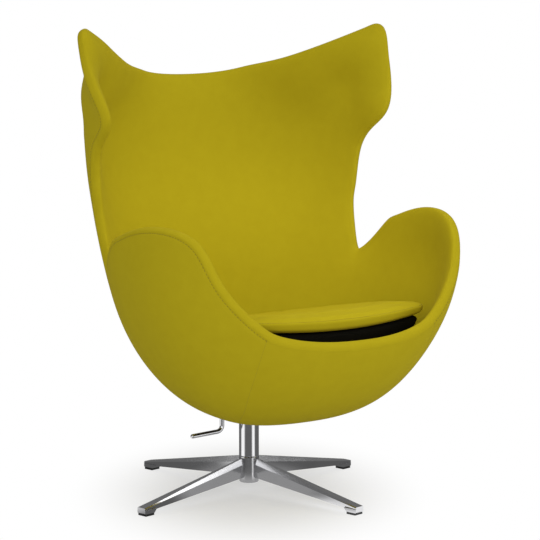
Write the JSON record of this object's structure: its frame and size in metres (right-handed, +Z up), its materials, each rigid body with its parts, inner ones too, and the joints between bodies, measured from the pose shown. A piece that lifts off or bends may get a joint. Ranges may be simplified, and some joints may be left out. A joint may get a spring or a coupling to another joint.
{
  "type": "lounge chair",
  "caption": "High-backed winged shell lounge chair in yellow-green felt on a polished star base, with swivel, recline, tilt lever and loose seat cushion.",
  "frame": {"origin": "on the floor under the middle of the chair's box", "axes": "+Z up, -Y the way the chair faces, +X to the sitter's left"},
  "size_m": [0.8236, 0.7859, 1.0717],
  "materials": {
    "wool_felt": "felted wool, matt",
    "deck_cloth": "black lining cloth",
    "polished_aluminium": "polished",
    "chrome": "polished",
    "zinc_steel": "zinc plated",
    "black_steel": "satin powder coat",
    "glide_plastic": "matt",
    "bearing_nylon": "matt",
    "rubber": "matt",
    "plywood": "sanded",
    "moulded_core": "glass-fibre moulding",
    "foam": "open-cell foam"
  },
  "bodies": {
    "base": {"star_base": "polished_aluminium", "glide_1": "glide_plastic", "glide_2": "glide_plastic", "glide_3": "glide_plastic", "glide_4": "glide_plastic", "glide_screw_1": "zinc_steel", "glide_screw_2": "zinc_steel", "glide_screw_3": "zinc_steel", "glide_screw_4": "zinc_steel", "hub_collar": "chrome", "column_tube": "chrome", "lower_bush": "bearing_nylon", "upper_bush": "bearing_nylon", "thrust_washer": "bearing_nylon"},
    "mechanism": {"spindle": "zinc_steel", "spindle_clip": "zinc_steel", "clip_washer": "zinc_steel", "tilt_housing": "black_steel", "pivot_bush_left": "bearing_nylon", "pivot_bush_right": "bearing_nylon", "lever_bush_left": "bearing_nylon", "lever_bush_right": "bearing_nylon", "tilt_buffer_left": "rubber", "tilt_buffer_right": "rubber", "torsion_sleeve": "rubber"},
    "lever": {"lever_rod": "chrome", "lever_cam": "zinc_steel", "lever_clip": "zinc_steel"},
    "seat": {"tilt_plate": "black_steel", "pivot_pin": "zinc_steel", "pivot_clip_left": "zinc_steel", "pivot_clip_right": "zinc_steel", "plate_bolt_1": "zinc_steel", "plate_bolt_2": "zinc_steel", "plate_bolt_3": "zinc_steel", "plate_bolt_4": "zinc_steel", "plate_nut_1": "zinc_steel", "plate_nut_2": "zinc_steel", "plate_nut_3": "zinc_steel", "plate_nut_4": "zinc_steel", "seat_board": "plywood", "shell_core": "moulded_core", "shell_foam": "foam", "outer_cover": "wool_felt", "inner_cover": "wool_felt", "deck_pad": "deck_cloth"},
    "cushion": {"seat_cushion": "wool_felt"}
  },
  "joints": [
    {"name": "swivel", "type": "hinge", "parent": "base", "child": "mechanism", "pos_m": [0, 0.0576, 0.21], "axis": [0, 0, 1], "continuous": true},
    {"name": "tilt", "type": "hinge", "parent": "mechanism", "child": "seat", "pos_m": [0, 0.0026, 0.25], "axis": [-1, 0, 0], "range_deg": [0, 12], "stiffness_Nm_per_rad": 150, "springref_deg": -14.32},
    {"name": "lever_turn", "type": "hinge", "parent": "mechanism", "child": "lever", "pos_m": [0, 0.0886, 0.232], "axis": [1, 0, 0], "range_deg": [-15, 15]},
    {"name": "cushion_lift", "type": "slide", "parent": "seat", "child": "cushion", "axis": [0, 0, 1], "range_m": [0, 0.25]}
  ]
}
